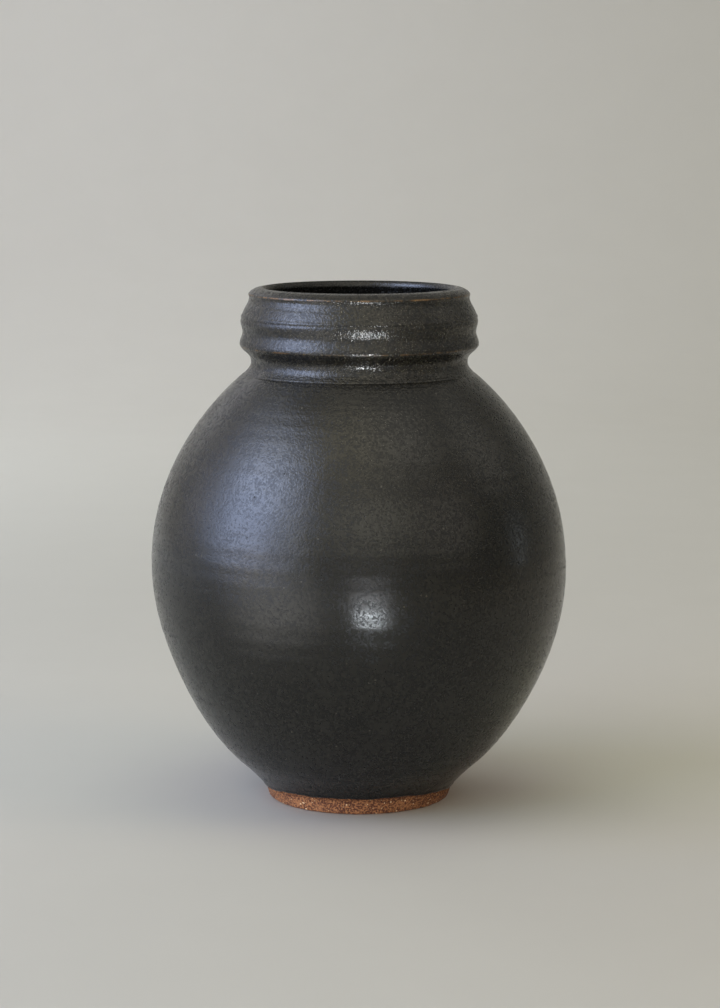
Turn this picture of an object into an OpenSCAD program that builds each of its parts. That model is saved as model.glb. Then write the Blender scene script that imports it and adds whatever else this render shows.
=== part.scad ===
// Round stoneware vase with a double-ridged collar on a bare turned foot.
// It is built as a potter builds it: two bowls joined at the belly, a neck ring
// and a collar above them, a foot ring below, slip in every seam, then a coat
// of glaze outside and a poured liner inside.
// Millimetres, +Z up. The origin is the centre of the standing face.

/* [Overall] */
// Height from the standing face to the crest of the lip
height = 250; // [240:1:262]
// Widest diameter, over the glaze
belly_d = 202; // [192:1:212]
// Height of the widest part
belly_z = 114; // [106:1:122]

/* [Foot] */
// Diameter of the standing face, before its edges are rounded off
foot_d = 88.6; // [84:0.2:91]
// Diameter over the glaze where the glaze begins
glaze_start_d = 94; // [93:0.2:96]
// Height where the glaze begins
glaze_start_z = 6.5; // [5.5:0.5:8]
// Diameter where the flare above the foot meets the bowl's long curve
flare_d = 116.6; // [114:0.2:119]
// Height where the flare meets the bowl's long curve
flare_z = 18; // [17:0.5:20]
// Height, on the outside, of the seam between foot ring and bowl
foot_seam_z = 11; // [10:0.5:13]
// Diameter of the hollow under the foot, at its ceiling
hollow_d = 70; // [62:1:72]
// Depth of the hollow under the foot
hollow_depth = 6; // [5:0.5:7]

/* [Neck and collar] */
// Diameter of the crease between shoulder and neck
crease_d = 110.2; // [108:0.2:111]
// Diameter of the waist under the collar
waist_d = 104.6; // [102:0.2:106]
// Diameter of the lower ridge
low_ridge_d = 115.4; // [113:0.2:118]
// Diameter of the groove between the ridges
groove_d = 112.5; // [110:0.5:113]
// Diameter of the upper ridge
high_ridge_d = 114.5; // [113:0.5:117]
// Diameter of the notch under the lip
notch_d = 106; // [104:0.5:108]
// Diameter of the lip's outer edge
lip_d = 107; // [106:0.5:109]
// Diameter of the lip's crest
crest_d = 94; // [92:0.5:96]

/* [Walls] */
// Thickness of the thrown clay wall
wall = 6.8; // [6:0.2:7.6]
// Thickness of the bowl's floor
floor_t = 7; // [6:0.5:9]
// Diameter of the throat at its narrowest, in the clay
throat_d = 91.6; // [89:0.2:92.4]
// Diameter inside the collar, in the clay
collar_bore_d = 97.4; // [95:0.2:98.6]
// Thickness of the glaze
glaze_t = 0.8; // [0.5:0.1:0.9]
// Thickness of the slip in a seam
slip_t = 0.4; // [0.3:0.1:0.6]

/* [Seams] */
// Depth of the V key in the belly seam
belly_key = 3; // [1:0.5:4]
// Depth of the V key in the other seams
small_key = 1.5; // [1:0.1:2]

/* [Hidden] */
$fn = 180;

long_steps = 20;       // straight steps along each long curve of the belly
short_steps = 4;       // straight steps along each short stretch of the neck and collar
edge = 0.6;            // bevel on both edges of the standing face
hollow_draft = 1.5;    // how much wider the hollow is at its mouth, on the radius
hollow_lip = 0.8;      // bowl clay that shows below the hollow's ceiling
floor_flat_r = 24;     // radius of the floor's flat middle
flare_angle = 38.8;    // slope of the wall where the flare meets the bowl
shoulder_angle = 140.3; // direction of the wall at the top of the shoulder
seam_reach = 1;        // how far a seam's cut runs past both faces of the wall
outside = 130;         // a radius beyond every piece
below = -1;            // a height under every piece
above = height + 1;    // a height over every piece

foot_r = foot_d / 2;
belly_r = belly_d / 2;
hollow_r = hollow_d / 2;
floor_z = hollow_depth + floor_t;

// ---- Curves -----------------------------------------------------------------

function unit(v) = v / norm(v);
function arm(angle, length) = length * [cos(angle), sin(angle)];
function last(list) = list[len(list) - 1];
function head(list) = [for (i = [0 : len(list) - 2]) list[i]];
function tail(list) = [for (i = [1 : len(list) - 1]) list[i]];
function reversed(list) = [for (i = [len(list) - 1 : -1 : 0]) list[i]];

function cubic(a, b, c, d, t) =
    pow(1 - t, 3) * a + 3 * pow(1 - t, 2) * t * b + 3 * (1 - t) * t * t * c + t * t * t * d;

// A curve that leaves a at one angle and reaches b at another
function sweep_to(a, angle_a, arm_a, b, angle_b, arm_b, steps) = [
    for (i = [0 : steps]) cubic(a, a + arm(angle_a, arm_a), b - arm(angle_b, arm_b), b, i / steps)
];

// The direction of a path at one of its points
function heading(path, i) =
    i == 0 ? unit(path[1] - path[0]) :
    i == len(path) - 1 ? unit(path[i] - path[i - 1]) :
    unit(unit(path[i + 1] - path[i]) + unit(path[i] - path[i - 1]));

// A smooth curve through a few points
function through(points) = concat(
    [for (i = [0 : len(points) - 2], k = [0 : short_steps - 1])
        let (reach = norm(points[i + 1] - points[i]) / 3)
        cubic(points[i], points[i] + reach * heading(points, i),
              points[i + 1] - reach * heading(points, i + 1), points[i + 1], k / short_steps)],
    [last(points)]);

// A path moved sideways, to the left of the way it runs
function moved_left(path, distance) = [
    for (i = [0 : len(path) - 1])
        let (way = heading(path, i))
        path[i] + distance * [-way[1], way[0]]
];

// ---- Outlines, as [radius, height] from the bottom up --------------------------

glaze_start = [glaze_start_d / 2, glaze_start_z];
flare_top = [flare_d / 2, flare_z];
belly = [belly_r, belly_z];
shoulder_top = [crease_d / 2 + 0.9, height - 41.6];
crease = [crease_d / 2, height - 41.4];
lip_edge = [lip_d / 2, height - 3];
crest = [crest_d / 2, height];

flare_curve = sweep_to(glaze_start, 53, 3.6, flare_top, flare_angle, 3.6, short_steps);
bowl_curve = sweep_to(flare_top, flare_angle, 22.7, belly, 90, 39.6, long_steps);
shoulder_curve = sweep_to(belly, 90, 51, shoulder_top, shoulder_angle, 17, long_steps);
crease_roll = [
    crease,
    [crease_d / 2 + 0.1, height - 40.9],
    [crease_d / 2 - 1, height - 39.8]
];
collar_points = [
    [waist_d / 2 + 0.4, height - 37.8],
    [waist_d / 2, height - 35.4],
    [waist_d / 2 + 0.7, height - 32.9],
    [low_ridge_d / 2 - 0.4, height - 28.4],
    [low_ridge_d / 2, height - 26.8],
    [groove_d / 2, height - 21.5],
    [high_ridge_d / 2, height - 15.5],
    [high_ridge_d / 2 - 1.5, height - 11.2],
    [notch_d / 2, height - 5],
    lip_edge
];
bevel_curve = sweep_to(lip_edge, 124, 1.6, crest, 180, 3.4, 3);

wall_outside = concat(flare_curve, tail(bowl_curve), tail(shoulder_curve));
glaze_outside = concat(
    wall_outside, through(concat(crease_roll, collar_points)), tail(bevel_curve));
plain_neck = through(concat([shoulder_top, [crease_d / 2 - 0.7, height - 40.7]], collar_points));
clay_outside = moved_left(concat(wall_outside, tail(plain_neck), tail(bevel_curve)), glaze_t);

bowl_inside = moved_left(bowl_curve, glaze_t + wall);
shoulder_inside = moved_left(shoulder_curve, glaze_t + wall);
floor_curve = sweep_to([floor_flat_r, floor_z], 0, 12, bowl_inside[0], flare_angle, 12, short_steps * 2);
throat_curve = through([
    shoulder_inside[long_steps - 1],
    shoulder_inside[long_steps],
    [throat_d / 2 + 1.2, height - 40.5],
    [throat_d / 2, height - 35.5],
    [collar_bore_d / 2, height - 20],
    [crest_d / 2 - 0.6, height - 5],
    [crest_d / 2 - 0.8, height - 2.4],
    last(clay_outside)
]);
clay_inside = concat(
    [[0, floor_z]], floor_curve, tail(bowl_inside), tail(head(head(shoulder_inside))), throat_curve);
glaze_inside = concat(head(moved_left(clay_inside, glaze_t)), [crest]);

underside = [
    [0, hollow_depth],
    [hollow_r, hollow_depth],
    [hollow_r + hollow_draft, edge],
    [hollow_r + hollow_draft + edge, 0],
    [foot_r - edge, 0],
    [foot_r, edge]
];

// ---- Seams, as lines across the wall from the axis outwards ---------------------

// A seam between two points of the wall, with a V key in its middle
function seam(inner, outer, key, lift) =
    let (along = unit(outer - inner),
         up = [-along[1], along[0]],
         middle = (inner + outer) / 2,
         inner_end = inner - seam_reach * along + lift * up,
         outer_end = outer + seam_reach * along + lift * up)
    [
        [below, inner_end[1]],
        inner_end,
        middle - key * along + lift * up,
        middle + (lift - key) * up,
        middle + key * along + lift * up,
        outer_end,
        [outside, outer_end[1]]
    ];

function foot_seam(lift = 0) =
    seam([hollow_r + 0.2, hollow_depth - hollow_lip], [foot_r + 6, foot_seam_z], small_key, lift);
function belly_seam(lift = 0) =
    seam(last(bowl_inside), belly - [glaze_t, 0], belly_key, lift);
function neck_seam(lift = 0) =
    seam(last(shoulder_inside), last(moved_left(shoulder_curve, glaze_t)), small_key, lift);
function collar_seam(lift = 0) =
    seam([throat_d / 2 + 0.4, height - 32], [waist_d / 2 + 1, height - 32], small_key, lift);

bottom_line = [[below, below], [outside, below]];
top_line = [[below, above], [outside, above]];

// ---- Sections -----------------------------------------------------------------

module clay_section() {
    polygon(concat(underside, clay_outside, tail(reversed(clay_inside))));
}

// The part of the clay that lies between two seams, turned about the axis
module clay_between(lower_line, upper_line) {
    rotate_extrude() intersection() {
        clay_section();
        polygon(concat(lower_line, reversed(upper_line)));
    }
}

// ---- Pieces -------------------------------------------------------------------

module foot_ring() {
    color("#8f5d3c") clay_between(bottom_line, foot_seam());
}

module lower_bowl() {
    color("#a06a45") clay_between(foot_seam(slip_t), belly_seam());
}

module upper_bowl() {
    color("#a87350") clay_between(belly_seam(slip_t), neck_seam());
}

module neck_ring() {
    color("#96603d") clay_between(neck_seam(slip_t), collar_seam());
}

module collar() {
    color("#a46e4a") clay_between(collar_seam(slip_t), top_line);
}

module foot_slip() {
    color("#c9a27d") clay_between(foot_seam(), foot_seam(slip_t));
}

module belly_slip() {
    color("#c9a27d") clay_between(belly_seam(), belly_seam(slip_t));
}

module neck_slip() {
    color("#c9a27d") clay_between(neck_seam(), neck_seam(slip_t));
}

module collar_slip() {
    color("#c9a27d") clay_between(collar_seam(), collar_seam(slip_t));
}

module outer_glaze() {
    color("#38352f") rotate_extrude() polygon(concat(glaze_outside, reversed(clay_outside)));
}

module liner_glaze() {
    color("#191917") rotate_extrude() polygon(concat(clay_inside, reversed(glaze_inside)));
}

foot_ring();
lower_bowl();
upper_bowl();
neck_ring();
collar();
foot_slip();
belly_slip();
neck_slip();
collar_slip();
outer_glaze();
liner_glaze();
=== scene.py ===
"""Looks of a wheel-thrown stoneware vase with a dark iron glaze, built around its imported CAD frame.

Every piece is a lathe-like mesh. Its outline is read from a section through the CAD node it stands for,
then given what a hand and a kiln leave behind: throwing rings, a slight bow, a rolled glaze edge, rough
clay on the foot. Lengths are in metres; a measure written as 3 * MM is three millimetres.
"""
import math

import bmesh
import bpy
import numpy as np
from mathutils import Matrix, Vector, noise


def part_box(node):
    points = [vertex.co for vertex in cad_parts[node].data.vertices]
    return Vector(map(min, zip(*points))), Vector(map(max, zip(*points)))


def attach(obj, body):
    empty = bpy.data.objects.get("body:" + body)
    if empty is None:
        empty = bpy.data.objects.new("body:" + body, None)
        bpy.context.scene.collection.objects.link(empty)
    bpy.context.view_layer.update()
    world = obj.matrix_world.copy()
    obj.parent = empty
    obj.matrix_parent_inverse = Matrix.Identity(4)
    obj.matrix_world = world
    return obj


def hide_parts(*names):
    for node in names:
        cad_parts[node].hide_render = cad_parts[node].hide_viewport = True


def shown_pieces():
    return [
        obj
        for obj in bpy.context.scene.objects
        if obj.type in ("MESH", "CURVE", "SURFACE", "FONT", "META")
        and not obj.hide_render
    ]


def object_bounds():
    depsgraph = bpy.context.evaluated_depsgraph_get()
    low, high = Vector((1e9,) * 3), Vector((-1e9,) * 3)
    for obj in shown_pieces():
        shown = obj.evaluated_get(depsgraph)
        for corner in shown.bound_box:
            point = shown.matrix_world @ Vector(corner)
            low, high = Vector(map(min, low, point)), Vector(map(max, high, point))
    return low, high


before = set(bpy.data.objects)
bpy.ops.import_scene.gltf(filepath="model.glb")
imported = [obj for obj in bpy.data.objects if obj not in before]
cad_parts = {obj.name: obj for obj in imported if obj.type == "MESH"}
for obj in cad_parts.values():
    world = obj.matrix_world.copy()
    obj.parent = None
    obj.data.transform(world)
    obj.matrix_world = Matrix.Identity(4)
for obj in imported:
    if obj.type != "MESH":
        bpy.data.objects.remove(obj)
cad_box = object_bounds()

MM = 0.001
TURN = 2.0 * math.pi

# ---------------------------------------------------------------- places taken from the frame

floor_z = cad_box[0].z
top_z = cad_box[1].z
height = top_z - floor_z
foot_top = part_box("foot_ring")[1].z
neck_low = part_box("neck_ring")[0].z
collar_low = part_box("collar")[0].z

# ---------------------------------------------------------------- outlines

WELD = 0.001 * MM          # vertices nearer than this are one
ON_PLANE = 0.1 * WELD      # vertices nearer a cutting plane than this lie on it
CUT_ANGLE = math.radians(0.5)  # the section plane is turned a little off the mesh's own seam


def cut_at_axis(cut, across, **kept):
    """Cut a bmesh along an upright plane through the axis, square to a vector. Gives what lies on it."""
    parts = cut.verts[:] + cut.edges[:] + cut.faces[:]
    axis = (0, 0, 0)
    done = bmesh.ops.bisect_plane(cut, geom=parts, plane_co=axis, plane_no=across, dist=ON_PLANE, **kept)
    return done["geom_cut"]


def section(node):
    """A CAD node's outline on one side of the axis: (radius, height) rows, counter-clockwise.

    A node that reaches the axis gives an open outline that starts and ends on it.
    """
    cut = bmesh.new()
    cut.from_mesh(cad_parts[node].data)
    bmesh.ops.remove_doubles(cut, verts=cut.verts, dist=WELD)
    cut_at_axis(cut, (1, 0, 0), clear_inner=True)  # only the half at +X is kept
    beside = {}
    for item in cut_at_axis(cut, (-math.sin(CUT_ANGLE), math.cos(CUT_ANGLE), 0)):
        if isinstance(item, bmesh.types.BMEdge):
            a, b = item.verts
            beside.setdefault(a, []).append(b)
            beside.setdefault(b, []).append(a)
    ends = [v for v in beside if len(beside[v]) == 1]
    path = [ends[0] if ends else next(iter(beside))]
    before = None
    while len(path) < len(beside):
        ahead = [v for v in beside[path[-1]] if v is not before]
        before = path[-1]
        path.append(ahead[0])
    outline = np.array([(math.hypot(v.co.x, v.co.y), v.co.z) for v in path])
    cut.free()
    after = np.roll(outline, -1, axis=0)
    area = np.sum(outline[:, 0] * after[:, 1] - outline[:, 1] * after[:, 0])
    return outline if area > 0 else outline[::-1]


def halves(outline):
    """The two sides of a closed outline: from its lowest point up to its highest, and on down again."""
    turned = np.roll(outline, -int(np.argmin(outline[:, 1])), axis=0)
    top = int(np.argmax(turned[:, 1]))
    return turned[: top + 1], np.vstack([turned[top:], turned[:1]])


def lengths(outline):
    """How far along an outline each of its points lies."""
    steps = np.hypot(*np.diff(outline, axis=0).T)
    return np.concatenate([[0.0], np.cumsum(steps)])


def at(outline, where):
    """The points of an outline at the given distances along it."""
    along = lengths(outline)
    return np.stack([np.interp(where, along, column) for column in outline.T], axis=-1)


def spaced(outline, step):
    """An open outline with its points about one step apart."""
    total = lengths(outline)[-1]
    count = max(3, int(round(total / step)) + 1)
    return at(outline, np.linspace(0.0, total, count))


def softened(outline, reach, closed=False):
    """An evenly spaced outline averaged over a bell of the given reach. An open outline keeps its ends."""
    step = lengths(outline)[1]
    count = min(int(math.ceil(3.0 * reach / step)), len(outline) - 2)
    bell = np.exp(-0.5 * (np.arange(-count, count + 1) * step / reach) ** 2)
    bell /= bell.sum()
    if closed:
        wide = np.vstack([outline[-count:], outline, outline[:count]])
    else:
        first = 2.0 * outline[0] - outline[count:0:-1]
        last = 2.0 * outline[-1] - outline[-2 : -count - 2 : -1]
        wide = np.vstack([first, outline, last])
    return np.column_stack([np.convolve(column, bell, mode="valid") for column in wide.T])


def outward(outline, closed=False):
    """Unit vectors that point out of the solid, at each point of a counter-clockwise outline."""
    if closed:
        along = np.roll(outline, -1, axis=0) - np.roll(outline, 1, axis=0)
    else:
        along = np.gradient(outline, axis=0)
    along /= np.hypot(*along.T)[:, None]
    return np.column_stack([along[:, 1], -along[:, 0]])


def bend(outline, reach):
    """How sharply an evenly spaced outline turns, per metre: above 0 on a bulge, below in a hollow."""
    smooth = softened(outline, reach)
    step = lengths(outline)[1]
    along = np.gradient(smooth, axis=0)
    turned = np.unwrap(np.arctan2(along[:, 1], along[:, 0]))
    return np.gradient(turned) / step


def ease(value, low, high):
    """0 below low, 1 above high, and a smooth rise between."""
    t = np.clip((value - low) / (high - low), 0.0, 1.0)
    return t * t * (3.0 - 2.0 * t)


def picked(outline, spacing):
    """Row numbers of a dense outline, as far apart as spacing(height) says."""
    along = lengths(outline)
    rows = [0]
    for row in range(1, len(outline) - 1):
        if along[row] - along[rows[-1]] >= spacing(outline[row, 1]):
            rows.append(row)
    return np.array(rows + [len(outline) - 1])


# ---------------------------------------------------------------- what hand and kiln leave behind

# no thrown pot is quite true: at a share of the height, the millimetres by which the wall leans to +X
BOW = (
    (0.0, 0.0),
    (0.12, 0.30),
    (0.28, 0.72),
    (0.38, 0.42),
    (0.50, -0.20),
    (0.62, -0.10),
    (0.88, 0.30),
    (1.0, 0.25),
)
BOW_BACK = ((0.0, 0.0), (0.45, 0.35), (0.80, -0.20), (1.0, 0.0))  # the same towards +Y
LEAN_STEPS = 200           # how finely a lean is worked out
LEAN_REACH = 15            # how many of those steps, to each side, it is smoothed over
OVAL = 0.003               # the share of its radius by which the pot dried wider, and less deep


def leaning(share, points):
    """A smooth offset in metres through given (share of height, millimetres) points."""
    shares, offsets = np.array(points).T
    fine = np.linspace(0.0, 1.0, LEAN_STEPS + 1)
    line = np.interp(fine, shares, offsets)
    bell = np.hanning(2 * LEAN_REACH + 1)
    wide = np.pad(line, LEAN_REACH, mode="edge")
    smooth = np.convolve(wide, bell / bell.sum(), mode="valid")
    return np.interp(share, fine, smooth) * MM


def placed(radius, angle, z):
    """World x, y, z of points given round the axis, with the one bow and oval that every piece shares."""
    share = (z - floor_z) / height
    oval = OVAL * ease(share, 0.1, 0.5)
    x = radius * np.cos(angle) * (1.0 + oval) + leaning(share, BOW)
    y = radius * np.sin(angle) * (1.0 - oval) + leaning(share, BOW_BACK)
    return np.stack([x, y, z], axis=-1)


def rings(along, angle, pitch, depth, turns=1.0):
    """Throwing marks: ridges that climb round the wall in one long spiral and come and go."""
    phase = TURN * along / pitch + turns * angle
    fade = 0.65 + 0.35 * np.sin(0.23 * phase + 2.0 * np.sin(angle))
    return depth * fade * (np.sin(phase) + 0.35 * np.sin(2.7 * phase + 1.3))


def uneven(angle, z, depth, seed):
    """Slow hills and dents over the whole wall: waves of many lengths, lower the shorter they are."""
    draw = np.random.default_rng(seed)
    total = np.zeros(np.broadcast(angle, z).shape)
    for waves in range(2, 14):
        lift, swing = draw.uniform(0.0, TURN, 2)
        climb = draw.uniform(25.0, 160.0)
        total += np.sin(waves * angle + lift) * np.sin(climb * z + swing) / waves**0.7
    return depth * total / 3.0


# crisp lines that the rib left on the collar, in millimetres: below the top, outward or inward, half width
RIB_LINES = (
    (13.7, 0.22, 0.60),
    (14.9, -0.26, 0.50),
    (9.2, 0.06, 0.45),
    (19.6, 0.05, 0.5),
    (27.6, 0.10, 0.45),
    (40.3, -0.15, 0.55),
)


def rib_lines(angle, z):
    """The crisp lines of RIB_LINES, a little stronger in some places round the collar than in others."""
    total = 0.0
    for row, (below_top, out, half) in enumerate(RIB_LINES):
        level = top_z - below_top * MM + 0.12 * MM * np.sin(angle + 1.4 * row)
        strength = 0.8 + 0.2 * np.sin(3 * angle + 2.1 * row)
        total = total + out * MM * strength * np.exp(-(((z - level) / (half * MM)) ** 2))
    return total


def grit(points, size, depth, seed):
    """Fine lumps from smooth 3-D noise, one value for each point."""
    shift = Vector((seed * 3.1, seed * 1.7, seed * 2.3))
    flat = points.reshape(-1, 3) / size
    values = [noise.noise(Vector(p) + shift) for p in flat]
    return depth * np.array(values).reshape(points.shape[:-1])


# ---------------------------------------------------------------- meshes


def faces_of(rows, columns, ring):
    """Quads over a grid of vertices that closes round the axis and, for a ring, from last row to first."""
    j = np.arange(rows if ring else rows - 1)[:, None]
    i = np.arange(columns)[None, :]
    up = (j + 1) % rows
    side = (i + 1) % columns
    corners = (j * columns + i, j * columns + side, up * columns + side, up * columns + i)
    return np.stack([c * np.ones_like(j * i) for c in corners], axis=-1).reshape(-1, 4).tolist()


def shell(name, points, stands_for, look, ring=True, poles=(), sharp=40.0, marks=None):
    """One piece of the object from a grid of points: rows along the outline, columns round the axis.

    A ring's last row joins its first. Otherwise two poles close the ends. Sharp is the angle in degrees
    above which an edge is shaded as a corner. Marks are values, one a point, that the material reads.
    """
    rows, columns = points.shape[:2]
    vertices = points.reshape(-1, 3).tolist()
    faces = faces_of(rows, columns, ring)
    around = np.arange(columns)
    beside = np.roll(around, -1)
    if poles:
        vertices += [tuple(poles[0]), tuple(poles[1])]
        last = (rows - 1) * columns
        start, end = rows * columns, rows * columns + 1
        faces += [[start, int(b), int(a)] for a, b in zip(around, beside)]
        faces += [[end, int(last + a), int(last + b)] for a, b in zip(around, beside)]
    mesh = bpy.data.meshes.new(name)
    mesh.from_pydata(vertices, [], faces)
    mesh.validate()
    mesh.shade_smooth()
    mesh.set_sharp_from_angle(angle=math.radians(sharp))
    for mark, values in (marks or {}).items():
        layer = mesh.attributes.new(mark, "FLOAT", "POINT")
        full = np.zeros(len(mesh.vertices))
        full[: values.size] = values.reshape(-1)
        layer.data.foreach_set("value", full.astype(np.float32))
    mesh.materials.append(look)
    piece = bpy.data.objects.new(name, mesh)
    bpy.context.scene.collection.objects.link(piece)
    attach(piece, "root")
    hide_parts(stands_for)
    return piece


ON_AXIS = 0.01 * MM        # an outline that comes nearer the axis than this reaches it


def turned_clay(name, node, look, step, columns, edge, roughen=None):
    """A clay or slip piece: its CAD outline with softened edges, turned about the axis.

    Step is the distance between rows and edge is how far a corner is softened. Roughen gives the lift of
    each point from its radius, height and angle.
    """
    outline = section(node)
    angle = np.arange(columns) * TURN / columns
    touches_axis = min(outline[0, 0], outline[-1, 0]) < ON_AXIS
    if touches_axis:
        dense = softened(spaced(outline, step), edge)
        dense[:, 0] = np.maximum(dense[:, 0], 0.0)
        normal = outward(dense)
        body, normal = dense[1:-1], normal[1:-1]
    else:
        loop = spaced(np.vstack([outline, outline[:1]]), step)[:-1]
        body = softened(loop, edge, closed=True)
        normal = outward(body, closed=True)
    radius = body[:, 0][:, None] + 0.0 * angle
    z = body[:, 1][:, None] + 0.0 * angle
    if roughen:
        lift = roughen(radius, z, angle[None, :])
        radius = radius + lift * normal[:, 0][:, None]
        z = np.maximum(z + lift * normal[:, 1][:, None], floor_z)
    points = placed(radius, angle[None, :], z)
    poles = ()
    if touches_axis:
        ends = (dense[0, 1], dense[-1, 1])
        poles = [placed(np.zeros(1), np.zeros(1), np.full(1, end))[0] for end in ends]
    return shell(name, points, node, look, ring=not touches_axis, poles=poles)


# ---------------------------------------------------------------- materials


def linear(red, green, blue):
    """A colour given as 0-255 screen values, as Blender's linear values."""
    parts = [c / 255.0 for c in (red, green, blue)]
    parts = [p / 12.92 if p <= 0.04045 else ((p + 0.055) / 1.055) ** 2.4 for p in parts]
    return (*parts, 1.0)


FIRED_IOR = 1.45           # of glaze and of fired clay


class Look:
    """The nodes of a new material, with its Principled shader, or of a light, with its Emission shader."""

    def __init__(self, name, light=None):
        self.material = light or bpy.data.materials.new(name)
        self.material.use_nodes = True
        self.tree = self.material.node_tree
        self.shader = self.tree.nodes["Emission" if light else "Principled BSDF"]
        self.here = self.node("ShaderNodeTexCoord").outputs["Object"]

    def node(self, kind, **values):
        """A new node with the given properties."""
        made = self.tree.nodes.new(kind)
        for key, value in values.items():
            setattr(made, key, value)
        return made

    def feed(self, socket, value):
        """Give a socket a constant, or the output of another node."""
        if isinstance(value, bpy.types.NodeSocket):
            self.tree.links.new(value, socket)
        else:
            socket.default_value = value

    def stretched(self, x, y, z):
        """The place on the object, scaled along each axis, for long or flat patterns."""
        made = self.node("ShaderNodeMapping")
        self.feed(made.inputs["Vector"], self.here)
        made.inputs["Scale"].default_value = (x, y, z)
        return made.outputs["Vector"]

    def noise(self, size, detail=3.0, rough=0.55, where=None, shift=0.0, twist=0.0):
        """Cloudy values round 0.5 with lumps of about the given size in metres."""
        made = self.node("ShaderNodeTexNoise", noise_dimensions="4D")
        self.feed(made.inputs["Vector"], where or self.here)
        made.inputs["W"].default_value = shift
        made.inputs["Scale"].default_value = 1.0 / size
        made.inputs["Detail"].default_value = detail
        made.inputs["Roughness"].default_value = rough
        made.inputs["Distortion"].default_value = twist
        return made.outputs["Fac"]

    def cells(self, size, shift=0.0):
        """Scattered centres about one size apart: the distance to the nearest, and a number of its own."""
        made = self.node("ShaderNodeTexVoronoi", voronoi_dimensions="4D")
        self.feed(made.inputs["Vector"], self.here)
        made.inputs["W"].default_value = shift
        made.inputs["Scale"].default_value = 1.0 / size
        split = self.node("ShaderNodeSeparateColor")
        self.feed(split.inputs["Color"], made.outputs["Color"])
        return made.outputs["Distance"], split.outputs["Red"]

    def maths(self, kind, a, b=0.0, c=0.0):
        """One step of arithmetic. MULTIPLY_ADD gives a * b + c."""
        made = self.node("ShaderNodeMath", operation=kind)
        for socket, value in zip(made.inputs, (a, b, c)):
            self.feed(socket, value)
        return made.outputs[0]

    def fit(self, value, low, high, to_low=0.0, to_high=1.0):
        """Value spread smoothly from low..high to to_low..to_high and held there outside."""
        made = self.node("ShaderNodeMapRange", interpolation_type="SMOOTHSTEP")
        for socket, given in zip(made.inputs, (value, low, high, to_low, to_high)):
            self.feed(socket, given)
        return made.outputs["Result"]

    def mix(self, amount, a, b):
        """Colour a where amount is 0, colour b where it is 1."""
        made = self.node("ShaderNodeMix", data_type="RGBA")
        for socket, value in zip((made.inputs[0], made.inputs[6], made.inputs[7]), (amount, a, b)):
            self.feed(socket, value)
        return made.outputs[2]

    def mark(self, name):
        """A value stored on the mesh by shell()."""
        return self.node("ShaderNodeAttribute", attribute_name=name).outputs["Fac"]

    def bump(self, lift, depth, under=None):
        """Relief of the given depth in metres where lift goes from 0 to 1."""
        made = self.node("ShaderNodeBump")
        made.inputs["Strength"].default_value = 1.0
        self.feed(made.inputs["Distance"], depth)
        self.feed(made.inputs["Height"], lift)
        if under:
            self.feed(made.inputs["Normal"], under)
        return made.outputs["Normal"]

    def spots(self, size, largest, shift, kept):
        """Round spots, at most largest across, in a kept share of scattered places."""
        distance, chance = self.cells(size, shift)
        radius = self.fit(chance, 1.0 - kept, 1.0, 0.0, 0.5 * largest / size)
        edge = self.maths("SUBTRACT", radius, distance)
        return self.fit(edge, 0.0, 0.12 * largest / size)


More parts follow.
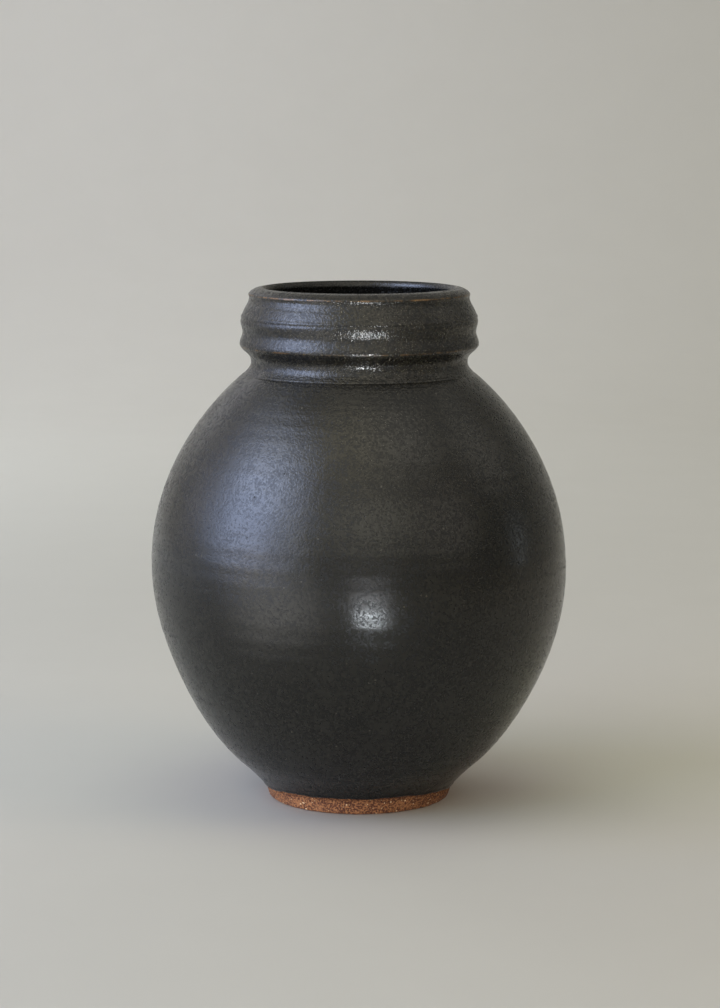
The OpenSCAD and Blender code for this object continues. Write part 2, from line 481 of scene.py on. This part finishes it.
def iron_glaze(name, dark, light, dry, brown):
    """A satin iron glaze, near black: matt grains, pale flecks, pinholes, brown where it runs thin.

    On the neck and collar, marked coarse, it is drier and the grains stand out more.
    """
    look = Look(name)
    coarse = look.mark("coarse")
    grain = look.noise(1.05 * MM, 1.0, 0.6, shift=1.0)
    curds = look.noise(3.6 * MM, 3.0, 0.55, shift=2.0)
    pepper = look.spots(1.9 * MM, 1.3 * MM, 9.0, 0.8)
    pepper = look.maths("MULTIPLY", pepper, look.maths("MULTIPLY_ADD", coarse, 0.45, 0.55))
    clouds = look.noise(24.0 * MM, 3.0, 0.55, shift=3.0)
    runs = look.noise(6.0 * MM, 2.0, 0.5, where=look.stretched(1.0, 1.0, 0.16), shift=4.0)
    tone = look.maths("MULTIPLY_ADD", grain, 0.75, look.maths("MULTIPLY", curds, 0.25))
    slow = look.maths("MULTIPLY_ADD", clouds, 0.22, look.maths("MULTIPLY", runs, 0.10))
    tone = look.maths("ADD", tone, look.maths("SUBTRACT", slow, 0.16))
    tone = look.maths("MULTIPLY_ADD", pepper, -0.16, tone)
    grains = look.fit(tone, 0.40, 0.62)
    colour = look.mix(grains, dark, look.mix(coarse, light, dry))
    patches = look.fit(look.noise(7.0 * MM, 3.0, 0.6, shift=8.0), 0.38, 0.66)
    worn = look.maths("MULTIPLY", look.mark("thin"), look.maths("MULTIPLY_ADD", patches, 0.75, 0.25))
    worn = look.fit(look.maths("MULTIPLY_ADD", grain, 0.5, worn), 0.35, 1.1)
    colour = look.mix(worn, colour, brown)
    flecks = look.spots(2.6 * MM, 1.0 * MM, 5.0, 0.6)
    colour = look.mix(look.maths("MULTIPLY", flecks, 0.32), colour, linear(112, 107, 94))
    holes = look.spots(2.8 * MM, 1.0 * MM, 6.0, 0.5)
    colour = look.mix(look.maths("MULTIPLY", holes, 0.9), colour, linear(4, 4, 3))
    pooled = look.maths("MULTIPLY", look.mark("thick"), 0.85)
    colour = look.mix(pooled, colour, linear(9, 10, 14))
    look.feed(look.shader.inputs["Base Color"], colour)
    satin = look.fit(tone, 0.34, 0.56, 0.40, 0.17)
    satin = look.maths("MULTIPLY_ADD", coarse, 0.05, satin)
    satin = look.maths("MAXIMUM", satin, look.maths("MULTIPLY", holes, 0.6))
    satin = look.maths("SUBTRACT", satin, look.maths("MULTIPLY", pooled, 0.08))
    look.feed(look.shader.inputs["Roughness"], satin)
    look.shader.inputs["IOR"].default_value = FIRED_IOR
    relief = look.bump(grains, look.maths("MULTIPLY_ADD", coarse, 0.060 * MM, 0.012 * MM))
    relief = look.bump(curds, 0.08 * MM, relief)
    relief = look.bump(look.noise(9.0 * MM, 2.0, 0.5, shift=7.0), 0.10 * MM, relief)
    relief = look.bump(look.maths("SUBTRACT", 1.0, holes), 0.12 * MM, relief)
    look.feed(look.shader.inputs["Normal"], relief)
    return look.material


def clay(name, deep, body, pale, speckle):
    """Bare fired stoneware: coarse tan grog in red-brown clay, with dark iron specks and turning lines."""
    look = Look(name)
    grain = look.noise(0.95 * MM, 1.0, 0.6, shift=11.0)
    clouds = look.noise(7.0 * MM, 3.0, 0.6, shift=12.0)
    lines = look.noise(1.4 * MM, 3.0, 0.6, where=look.stretched(0.12, 0.12, 1.0), shift=13.0)
    tone = look.maths("MULTIPLY_ADD", grain, 0.7, look.maths("MULTIPLY", clouds, 0.2))
    tone = look.maths("MULTIPLY_ADD", lines, 0.1, tone)
    colour = look.mix(look.fit(tone, 0.42, 0.60), deep, body)
    grog = look.spots(1.4 * MM, 1.1 * MM, 14.0, 0.8)
    colour = look.mix(look.maths("MULTIPLY", grog, 0.85), colour, pale)
    iron = look.spots(2.2 * MM, 1.0 * MM, 15.0, 0.5)
    colour = look.mix(look.maths("MULTIPLY", iron, 0.8), colour, speckle)
    look.feed(look.shader.inputs["Base Color"], colour)
    look.feed(look.shader.inputs["Roughness"], look.fit(grain, 0.3, 0.7, 0.72, 0.92))
    look.shader.inputs["IOR"].default_value = FIRED_IOR
    relief = look.bump(grain, 0.30 * MM)
    relief = look.bump(lines, 0.10 * MM, relief)
    relief = look.bump(grog, 0.14 * MM, relief)
    look.feed(look.shader.inputs["Normal"], relief)
    return look.material


SOOT = (0.0010, 0.0010, 0.0008, 1)  # the glaze's darkest grains
glaze_look = iron_glaze(
    "iron_glaze",
    dark=SOOT,
    light=(0.0100, 0.0094, 0.0074, 1),
    dry=(0.019, 0.0165, 0.0118, 1),
    brown=linear(98, 72, 42),
)
# painted shade: the glaze inside is given darker colours than the same glaze outside, to darken the inside
# of the mouth
liner_look_painted_shade = iron_glaze(
    "liner_glaze",
    dark=SOOT,
    light=(0.005, 0.0048, 0.0040, 1),
    dry=(0.009, 0.008, 0.006, 1),
    brown=linear(70, 56, 38),
)
clay_look = clay(
    "bare_clay",
    deep=linear(76, 37, 18),
    body=linear(152, 102, 64),
    pale=linear(224, 192, 146),
    speckle=linear(46, 21, 13),
)
slip_look = clay(
    "slip",
    deep=linear(120, 76, 48),
    body=linear(170, 120, 82),
    pale=linear(196, 160, 120),
    speckle=linear(90, 44, 30),
)

# ---------------------------------------------------------------- the outer glaze

COLUMNS = 216              # of vertices round the glazed pieces
GLAZE = 0.8 * MM           # how thick the glaze lies on the clay
FINE = 0.2 * MM            # step of the dense outlines
angle = np.arange(COLUMNS) * TURN / COLUMNS
from_front = angle + 0.5 * math.pi  # angle away from the front, which faces -Y

climb, descend = halves(section("outer_glaze"))


def belly_share(z):
    """1 on the long smooth belly, 0 on the foot's flare and the neck, where the outline turns quickly."""
    above_foot = ease(z, foot_top + 7 * MM, foot_top + 16 * MM)
    into_neck = ease(z, neck_low - 14 * MM, neck_low - 3 * MM)
    return above_foot * (1.0 - into_neck)


def smoothed(outline):
    """An outline with its straight CAD steps smoothed: broadly on the belly, finely elsewhere."""
    dense = spaced(outline, FINE)
    fine = softened(dense, 0.35 * MM)
    broad = softened(dense, 3.0 * MM)
    share = belly_share(dense[:, 1])[:, None]
    return fine + share * (broad - fine)


skin = smoothed(climb)

# the clay wall under the glaze: the foot's own wall, then the glaze's inner side from where the two meet
inner_side = descend[::-1]
low_part = inner_side[:, 1] < foot_top
meet = int(np.argmin(np.where(low_part, inner_side[:, 0], 1.0)))
foot_climb = halves(section("foot_ring"))[0]
above_floor = foot_climb[:, 1] > floor_z + 0.5 * MM
below_meet = foot_climb[:, 1] < inner_side[meet, 1] - 0.1 * MM
foot_wall = foot_climb[above_floor & below_meet]
foot_wall = foot_wall[foot_wall[:, 0] > 0.9 * inner_side[meet, 0]]
wall = smoothed(np.vstack([foot_wall, inner_side[meet:]]))
wall_out = outward(wall)
wall_along = lengths(wall)

# where the glaze stops, in millimetres above the floor: low at the sides and back, higher in front where
# it was wiped, and never straight
EDGE_LOW = 5.15
EDGE_RISE = 3.95           # how much higher it is in front
facing = np.cos(from_front)
facing = 0.5 * (facing + np.sqrt(facing**2 + 0.02))
wander = 0.30 * np.sin(5 * angle + 0.4) + 0.22 * np.sin(11 * angle + 2.0) + 0.13 * np.sin(23 * angle + 1.1)
wander += 0.08 * np.sin(41 * angle + 0.7)
edge_z = floor_z + (EDGE_LOW + EDGE_RISE * facing**1.1 + wander) * MM
low_quarter = slice(0, len(wall) // 4)
edge_along = np.interp(edge_z, wall[low_quarter, 1], wall_along[low_quarter])

JOIN_Z = foot_top + 4.5 * MM  # above this the glaze follows its CAD outline
join_row = int(np.argmax(wall[:, 1] > JOIN_Z))
join_along = wall_along[join_row]
LOW_ROWS = 34              # rows between the glaze's edge and the join
ROLL = 0.9 * MM            # over what distance the rolled edge reaches full thickness
BEAD = 0.28                # how much the rolled edge stands above the plain thickness
BEAD_AT = 1.3 * MM         # how far from the edge it stands highest
BEAD_WIDE = 1.1 * MM       # and how wide it is


def build_up(distance):
    """Glaze thickness at a distance above its edge, as a share of the plain thickness."""
    share = np.clip(distance / ROLL, 0.0, 1.0)
    bead = BEAD * np.exp(-(((distance - BEAD_AT) / BEAD_WIDE) ** 2))
    return np.sqrt(share * (2.0 - share)) * (1.0 + bead)


shares = np.linspace(0.0, 1.0, LOW_ROWS) ** 1.6
low_along = edge_along[None, :] + shares[:, None] * (join_along - edge_along)[None, :]
low_wall = at(wall, low_along)
low_out = np.stack([np.interp(low_along, wall_along, column) for column in wall_out.T], axis=-1)
low_skin = low_wall + low_out * (GLAZE * build_up(low_along - edge_along[None, :]))[..., None]

# the rest of the skin starts at the point of the CAD outline nearest the join
target = wall[join_row] + GLAZE * wall_out[join_row]
start_row = int(np.argmin(np.hypot(*(skin - target).T)))
upper = skin[start_row + 1 :]


SHARP_FROM = 260.0         # per metre: where the outline turns more sharply than this the glaze runs thin
SHARP_TO = 900.0           # and here it is thinnest


def row_step(z):
    """Distance between rows: close on the neck and collar, wider on the belly."""
    return 0.34 * MM + 1.30 * MM * belly_share(z)


def inner_step(z):
    """Distance between rows on the hidden side that lies on the clay."""
    return 1.2 * MM + 2.4 * MM * belly_share(z)


rows = picked(upper, row_step)
upper_along = lengths(upper)[rows]
upper_out = outward(upper)[rows]
sharpness = bend(upper, 0.45 * MM)[rows]
upper = upper[rows]

# the glaze is thin where the outline turns sharply on the neck and collar, and along the collar's low edge
thin_upper = ease(sharpness, SHARP_FROM, SHARP_TO) * ease(upper[:, 1], neck_low, neck_low + 8 * MM)
collar_edge = collar_low + 5.2 * MM
thin_upper += 0.55 * np.exp(-(((upper[:, 1] - collar_edge) / (0.5 * MM)) ** 2))

# how far the skin stands off its CAD outline: throwing rings, rib lines and slow hills, none at the ends
fade = ease(upper[:, 1], JOIN_Z, JOIN_Z + 12 * MM)
fade *= 1.0 - ease(upper[:, 1], top_z - 4 * MM, top_z - 1 * MM)
on_belly = belly_share(upper[:, 1])
on_neck = ease(upper[:, 1], neck_low, neck_low + 4 * MM)
lift = rings(upper_along[:, None], angle[None, :], 8.6 * MM, 0.055 * MM) * on_belly[:, None]
lift += rings(upper_along[:, None], angle[None, :], 3.3 * MM, 0.012 * MM, 2.0)
lift += rings(upper_along[:, None], angle[None, :], 1.7 * MM, 0.018 * MM, 3.0) * on_neck[:, None]
lift += rib_lines(angle[None, :], upper[:, 1][:, None])
lift += uneven(angle[None, :], upper[:, 1][:, None], 0.16 * MM, 3)
lift *= fade[:, None]
upper_radius = upper[:, 0][:, None] + lift * upper_out[:, 0][:, None]
upper_z = upper[:, 1][:, None] + lift * upper_out[:, 1][:, None]

# the side that lies on the clay, from the top down to the edge, where the coat closes on its first row
inner = wall[join_row:]
inner = inner[picked(inner, inner_step)][::-1]
inner_low = low_wall[::-4][1:-1]
all_round = 0.0 * angle
inner_radius = inner[:, 0][:, None] + all_round
inner_z = inner[:, 1][:, None] + all_round

glaze_radius = np.vstack([low_skin[..., 0], upper_radius, inner_radius, inner_low[..., 0]])
glaze_z = np.vstack([low_skin[..., 1], upper_z, inner_z, inner_low[..., 1]])
thin = np.zeros(glaze_radius.shape)
thin[LOW_ROWS : LOW_ROWS + len(upper)] = thin_upper[:, None]
coarse = 0.6 * ease(glaze_z, neck_low - 2 * MM, neck_low + 8 * MM)
coarse += 0.4 * ease(glaze_z, 0.35 * top_z, 0.75 * top_z)
thick = np.zeros(glaze_radius.shape)
thick[:LOW_ROWS] = 1.0 - ease(low_along - edge_along[None, :], 0.8 * MM, 2.6 * MM)
shell(
    "outer_glaze_mesh",
    placed(glaze_radius, angle[None, :], glaze_z),
    "outer_glaze",
    glaze_look,
    sharp=60.0,
    marks={"thin": thin, "thick": thick, "coarse": coarse},
)

# ---------------------------------------------------------------- the glaze inside

liner = section("liner_glaze")
crest = int(np.argmax(liner[:, 1]))
first, second = liner[: crest + 1], liner[crest:]
seen, hidden = (second, first) if second[-1, 1] > first[0, 1] else (first[::-1], second[::-1])
hidden = hidden if hidden[-1, 1] > hidden[0, 1] else hidden[::-1]
seen = smoothed(seen)


def seen_step(z):
    """Distance between rows inside: close in the mouth, wider in the belly."""
    return 0.55 * MM + 1.6 * MM * (1.0 - ease(z, neck_low - 12 * MM, neck_low))


seen_rows = picked(seen, seen_step)
seen_along = lengths(seen)[seen_rows]
seen_out = outward(seen)[seen_rows]
seen_bend = bend(seen, 0.45 * MM)[seen_rows]
seen = seen[seen_rows][:-1]
seen_along, seen_out, seen_bend = seen_along[:-1], seen_out[:-1], seen_bend[:-1]
inside_fade = 1.0 - ease(seen[:, 1], top_z - 5 * MM, top_z - 1 * MM)
inside_fade *= ease(seen[:, 0], 0.0, 6 * MM)
inside_lift = rings(seen_along[:, None], angle[None, :], 7.5 * MM, 0.16 * MM) * inside_fade[:, None]
inside_lift += uneven(angle[None, :], seen[:, 1][:, None], 0.15 * MM, 5) * inside_fade[:, None]
inside_radius = seen[:, 0][:, None] + inside_lift * seen_out[:, 0][:, None]
inside_z = seen[:, 1][:, None] + inside_lift * seen_out[:, 1][:, None]
back = spaced(hidden, 2.5 * MM)[1:]
liner_radius = np.vstack([back[:, 0][:, None] + all_round, inside_radius[1:]])
liner_z = np.vstack([back[:, 1][:, None] + all_round, inside_z[1:]])
liner_thin = np.zeros(liner_radius.shape)
liner_thin[len(back) :] = ease(seen_bend[1:], SHARP_FROM, SHARP_TO)[:, None]
liner_poles = [placed(np.zeros(1), np.zeros(1), np.full(1, z))[0] for z in (hidden[0, 1], seen[-1, 1])]
shell(
    "liner_glaze_mesh",
    placed(liner_radius, angle[None, :], liner_z),
    "liner_glaze",
    liner_look_painted_shade,
    ring=False,
    poles=liner_poles,
    sharp=60.0,
    marks={"thin": liner_thin, "thick": 0.0 * liner_z, "coarse": ease(liner_z, top_z - 4 * MM, top_z)},
)

# ---------------------------------------------------------------- clay and slip


def foot_roughness(radius, z, angle):
    """Open grain and turning lines on the foot, and a worn standing edge."""
    points = np.stack([radius * np.cos(angle), radius * np.sin(angle), z + 0.0 * angle], axis=-1)
    lift = grit(points, 1.6 * MM, 0.11 * MM, 1) + grit(points, 5.0 * MM, 0.14 * MM, 2)
    lift += 0.05 * MM * np.sin(TURN * (z - floor_z) / (1.1 * MM) + angle)
    bare = 1.0 - ease(z, foot_top - 4.0 * MM, foot_top - 2.5 * MM)
    return lift * bare


def floor_turning(radius, z, angle):
    """The spiral that the turning tool leaves under the bowl, with a small nub in the middle."""
    under = 1.0 - ease(z, foot_top - 4.5 * MM, foot_top - 3.0 * MM)
    under = under * (1.0 - ease(radius, 32 * MM, 34 * MM))
    spiral = 0.14 * MM * np.sin(TURN * radius / (4.2 * MM) - angle) * ease(radius, 2 * MM, 6 * MM)
    nub = 0.5 * MM * np.exp(-((radius / (3.0 * MM)) ** 2))
    return (spiral + nub) * under


FOOT_COLUMNS = 384         # the foot is seen, and its grain is finer than the glazed clay's
HIDDEN_COLUMNS = 192


def clay_piece(node, step, edge, columns=HIDDEN_COLUMNS, roughen=None):
    """A part thrown or turned from clay."""
    turned_clay(node + "_mesh", node, clay_look, step, columns, edge, roughen)


clay_piece("foot_ring", 0.45 * MM, 0.30 * MM, FOOT_COLUMNS, foot_roughness)
clay_piece("lower_bowl", 1.2 * MM, 0.6 * MM, roughen=floor_turning)
clay_piece("upper_bowl", 1.5 * MM, 0.6 * MM)
clay_piece("neck_ring", 0.6 * MM, 0.2 * MM)
clay_piece("collar", 0.6 * MM, 0.2 * MM)
for joint in ("foot_slip", "belly_slip", "neck_slip", "collar_slip"):
    turned_clay(joint + "_mesh", joint, slip_look, 0.3 * MM, HIDDEN_COLUMNS, 0.06 * MM)

# ---------------------------------------------------------------- stage

scene = bpy.context.scene
scene.view_settings.view_transform = "Standard"

FLAT = 1.6                 # radius of the flat floor
SWEEP = 0.9                # radius of the curve from floor to wall
SWEEP_STEPS = 12
WALL_TOP = 2.4
GAP = 0.05 * MM            # how far the floor lies below the foot, so that their faces don't coincide
BACKDROP_COLUMNS = 96


def paper_look():
    """Pale paper with painted light and shade: a painted window light leaves it nearly white far off at the
    left and warmer and darker at the right, and painted shadow darkens it round the pot, in front of it and
    on the wall off to the right.
    """
    paper = Look("backdrop_paper")
    place = paper.node("ShaderNodeSeparateXYZ")
    paper.feed(place.inputs[0], paper.here)
    across = place.outputs["X"]
    deep = place.outputs["Y"]
    # painted window light: 0 at the left, where the paper is painted brightest, 1 at the right, where it is
    # painted darker and warmer
    painted_window_falloff = paper.fit(across, -0.5, 0.9)
    squares = paper.maths("MULTIPLY_ADD", across, across, paper.maths("MULTIPLY", deep, deep))
    far = paper.maths("SQRT", squares)
    # painted shadow round the pot: the paper near it is painted much darker than further off
    painted_shadow_tone = paper.mix(painted_window_falloff, (0.605, 0.60, 0.59, 1), (0.60, 0.585, 0.55, 1))
    # painted light far off: nearly white at the left, darker and warmer at the right
    far_tone_painted_light = paper.mix(painted_window_falloff, (0.97, 0.965, 0.965, 1), (0.72, 0.705, 0.655, 1))
    # the painted shadow gives way to the far tone between 0.4 and 1.8 metres from the axis
    tone = paper.mix(paper.fit(far, 0.4, 1.8), painted_shadow_tone, far_tone_painted_light)
    fibre = paper.fit(paper.noise(60 * MM, 2.0, shift=21.0), 0.2, 0.8, 0.985, 1.0)
    # painted shade on the wall off to the right, out of view, so the pot's right edge mirrors it darker;
    # the fibre is the paper's own
    shaded = paper.maths("MULTIPLY", fibre, paper.fit(across, 0.7, 1.8, 1.0, 0.7))
    # painted shadow: the floor in front of the pot is darker than behind it
    shaded = paper.maths("MULTIPLY", shaded, paper.fit(deep, -0.25, 0.1, 0.925, 1.0))
    paper.feed(paper.shader.inputs["Base Color"], paper.mix(shaded, (0, 0, 0, 1), tone))
    paper.shader.inputs["Roughness"].default_value = 0.9
    paper.shader.inputs["Specular IOR Level"].default_value = 0.2
    # seen from below the floor is clear, so the underside of the foot can be looked at
    behind = paper.node("ShaderNodeNewGeometry").outputs["Backfacing"]
    clear = paper.node("ShaderNodeBsdfTransparent")
    either = paper.node("ShaderNodeMixShader")
    paper.feed(either.inputs[0], behind)
    paper.feed(either.inputs[1], paper.shader.outputs[0])
    paper.feed(either.inputs[2], clear.outputs[0])
    paper.feed(paper.tree.nodes["Material Output"].inputs["Surface"], either.outputs[0])
    return paper.material


def backdrop():
    """A round sweep of pale paper: flat floor, curved corner, upright wall, open above."""
    ground = floor_z - GAP
    outline = [(r, ground) for r in (0.02, 0.15, 0.4, 0.8, 1.2, FLAT)]
    for step in range(1, SWEEP_STEPS + 1):
        turn = 0.5 * math.pi * step / SWEEP_STEPS
        outline.append((FLAT + SWEEP * math.sin(turn), ground + SWEEP * (1.0 - math.cos(turn))))
    outline.append((FLAT + SWEEP, WALL_TOP))
    around = np.arange(BACKDROP_COLUMNS) * TURN / BACKDROP_COLUMNS
    grid = np.array([[(r * math.cos(a), r * math.sin(a), z) for a in around] for r, z in outline])
    vertices = grid.reshape(-1, 3).tolist() + [(0.0, 0.0, ground)]
    faces = [face[::-1] for face in faces_of(len(outline), BACKDROP_COLUMNS, False)]
    middle = len(vertices) - 1
    faces += [[middle, i, (i + 1) % BACKDROP_COLUMNS] for i in range(BACKDROP_COLUMNS)]
    mesh = bpy.data.meshes.new("backdrop")
    mesh.from_pydata(vertices, [], faces)
    mesh.shade_smooth()
    mesh.materials.append(paper_look())
    sweep = bpy.data.objects.new("backdrop", mesh)
    scene.collection.objects.link(sweep)
    return sweep


AWAY = 1.6                 # how far off a light stands, unless it says otherwise
MIDDLE = Vector((0.0, 0.0, floor_z + 0.45 * height))  # what it faces


def heading(azimuth, elevation):
    """A unit vector; azimuth runs from the front (-Y) towards +X, in degrees."""
    a, e = math.radians(azimuth), math.radians(elevation)
    return Vector((math.sin(a) * math.cos(e), -math.cos(a) * math.cos(e), math.sin(e)))


def lamp(name, azimuth, elevation, width, tall, radiance, soft=0.0, distance=AWAY, aim=MIDDLE):
    """A rectangular light. Radiance is its brightness in red, green and blue where it is full.

    Soft is the share of its half width and half height over which it fades out towards its edges.
    """
    offset = heading(azimuth, elevation)
    brightest = max(radiance)
    data = bpy.data.lights.new(name, "AREA")
    data.shape = "RECTANGLE"
    data.size = width
    data.size_y = tall
    data.energy = brightest * math.pi * width * tall
    data.color = [part / brightest for part in radiance]
    if soft > 0.0:
        veil = Look(name, data)
        place = veil.node("ShaderNodeSeparateXYZ")
        veil.feed(place.inputs[0], veil.node("ShaderNodeTexCoord").outputs["UV"])
        fades = []
        for part in ("X", "Y"):
            off_centre = veil.maths("ABSOLUTE", veil.maths("SUBTRACT", place.outputs[part], 0.5))
            fades.append(veil.fit(off_centre, 0.5 - 0.5 * soft, 0.5, 1.0, 0.0))
        veil.feed(veil.shader.inputs["Strength"], veil.maths("MULTIPLY", *fades))
    light = bpy.data.objects.new(name, data)
    light.location = aim + distance * offset
    light.rotation_euler = offset.to_track_quat("Z", "Y").to_euler()
    light.visible_camera = False
    scene.collection.objects.link(light)
    return light


def group(name, members):
    """A collection that a light can be linked to."""
    made = bpy.data.collections.new(name)
    for member in members:
        made.objects.link(member)
    return made


pot_only = group("pot_only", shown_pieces())
room_only = group("room_only", [backdrop()])


def room_lamp(*given):
    """A light that shines on the backdrop only."""
    light = lamp(*given)
    light.light_linking.receiver_collection = room_only


def pot_lamp(*given):
    """A light that shines on the pot only."""
    light = lamp(*given)
    light.light_linking.receiver_collection = pot_only
    return light


# the room's own lights: they shape the backdrop's tone and the pot's shadow
room_lamp("window", -68, 32, 1.7, 1.4, (1.1, 1.36, 2.06))
room_lamp("window_top", -60, 50, 0.9, 0.7, (1.6, 1.1, 0.75))
room_lamp("front", -25, 36, 0.8, 0.7, (1.08, 1.27, 0.8))
room_lamp("behind_left", -140, 30, 0.75, 0.75, (1.25, 1.38, 1.32))
room_lamp("right", 68, 38, 0.8, 0.9, (1.75, 1.25, 0.8))
room_lamp("above", 0, 85, 1.0, 1.0, (0.8, 0.92, 0.56))

# what the glaze mirrors: a wide curtained window at the left and dim glows all round
pot_lamp("pane", -64, 21, 2.6, 2.0, (1.9, 2.4, 3.7), 0.75)
pot_lamp("pane_middle", -66, 22, 1.2, 1.4, (3.3, 3.9, 5.6), 0.8)
pot_lamp("pane_left", -100, 20, 1.6, 1.6, (0.75, 0.78, 1.0), 0.9)
pot_lamp("pane_left_high", -100, 46, 1.2, 1.0, (1.1, 1.2, 1.5), 0.9)
pot_lamp("pane_right", -38, 20, 1.2, 1.6, (1.4, 1.35, 1.15), 0.9)
pot_lamp("pane_high", -63, 43, 1.6, 1.3, (3.5, 3.9, 4.9), 0.9)
pot_lamp("pane_low", -60, -2, 1.6, 1.2, (1.4, 1.2, 0.9), 0.9)
pot_lamp("glow_front", 6, 26, 2.2, 1.4, (1.25, 1.2, 1.02), 0.9)
pot_lamp("glow_above", -12, 60, 1.8, 1.6, (1.05, 0.96, 0.68), 0.9)
pot_lamp("glow_right", 50, 22, 1.6, 1.4, (0.68, 0.63, 0.56), 0.9)
pot_lamp("glow_side", 97, 36, 1.4, 1.2, (0.55, 0.53, 0.48), 0.9)
pot_lamp("streak", 98, 5, 0.22, 0.5, (0.8, 0.9, 1.0), 0.6)
pot_lamp("glow_right_above", 40, 60, 1.6, 1.4, (0.8, 0.76, 0.68), 0.9)
pot_lamp("glow_left_back", -140, 30, 1.4, 1.4, (0.46, 0.47, 0.54), 0.9)

# near lights, low in front: the small highlight on the belly, the glow round it and to its left, and the
# glints on the collar
belly_front = Vector((7 * MM, -100 * MM, floor_z + 107 * MM))
collar_front = Vector((12 * MM, -57 * MM, top_z - 19 * MM))
pot_lamp("low_card", 6, -19, 0.095, 0.020, (47.0, 51.0, 54.0), 0.6, 0.26, belly_front)
pot_lamp("low_glow", 5, -8, 0.16, 0.10, (3.6, 3.6, 3.8), 0.9, 0.26, belly_front)
low_left = pot_lamp("low_left", -52, -15, 0.64, 0.38, (1.7, 1.67, 1.62), 0.95, 0.4, belly_front)
low_left.light_linking.blocker_collection = pot_only  # it reaches below the floor and shines through it
collar_card = pot_lamp("collar_card", 5, -36, 0.09, 0.045, (1.5, 1.56, 1.6), 0.9, 0.34, collar_front)
collar_card.data.spread = math.radians(12)

# a disc with a narrow beam under the foot, which shines through the floor and shows the underside
foot_middle = Vector((0.0, 0.0, floor_z))
under_foot = pot_lamp("under_foot", 0, -90, 86 * MM, 86 * MM, (0.5, 0.49, 0.46), 0.0, 20 * MM, foot_middle)
under_foot.data.shape = "DISK"
under_foot.data.spread = math.radians(12)
under_foot.light_linking.blocker_collection = pot_only

world = bpy.data.worlds.new("studio")
world.use_nodes = True
sky = world.node_tree.nodes["Background"]
sky.inputs["Color"].default_value = (1.0, 0.975, 0.88, 1)
sky.inputs["Strength"].default_value = 0.47
scene.world = world

# ---------------------------------------------------------------- camera, at the photograph's viewing angle

CAMERA_RIGHT = 0.0024      # where the camera stands from the middle of the foot, in heights of the pot
CAMERA_BACK = 5.286
CAMERA_UP = 1.366
CAMERA_TILT = math.radians(81.506)  # 0 would look straight down

camera_data = bpy.data.cameras.new("camera")
camera_data.sensor_width = 36.0
camera_data.lens = 97.78
camera = bpy.data.objects.new("camera", camera_data)
camera.location = (CAMERA_RIGHT * height, -CAMERA_BACK * height, floor_z + CAMERA_UP * height)
camera.rotation_euler = (CAMERA_TILT, 0.0, 0.0)
scene.collection.objects.link(camera)
scene.camera = camera
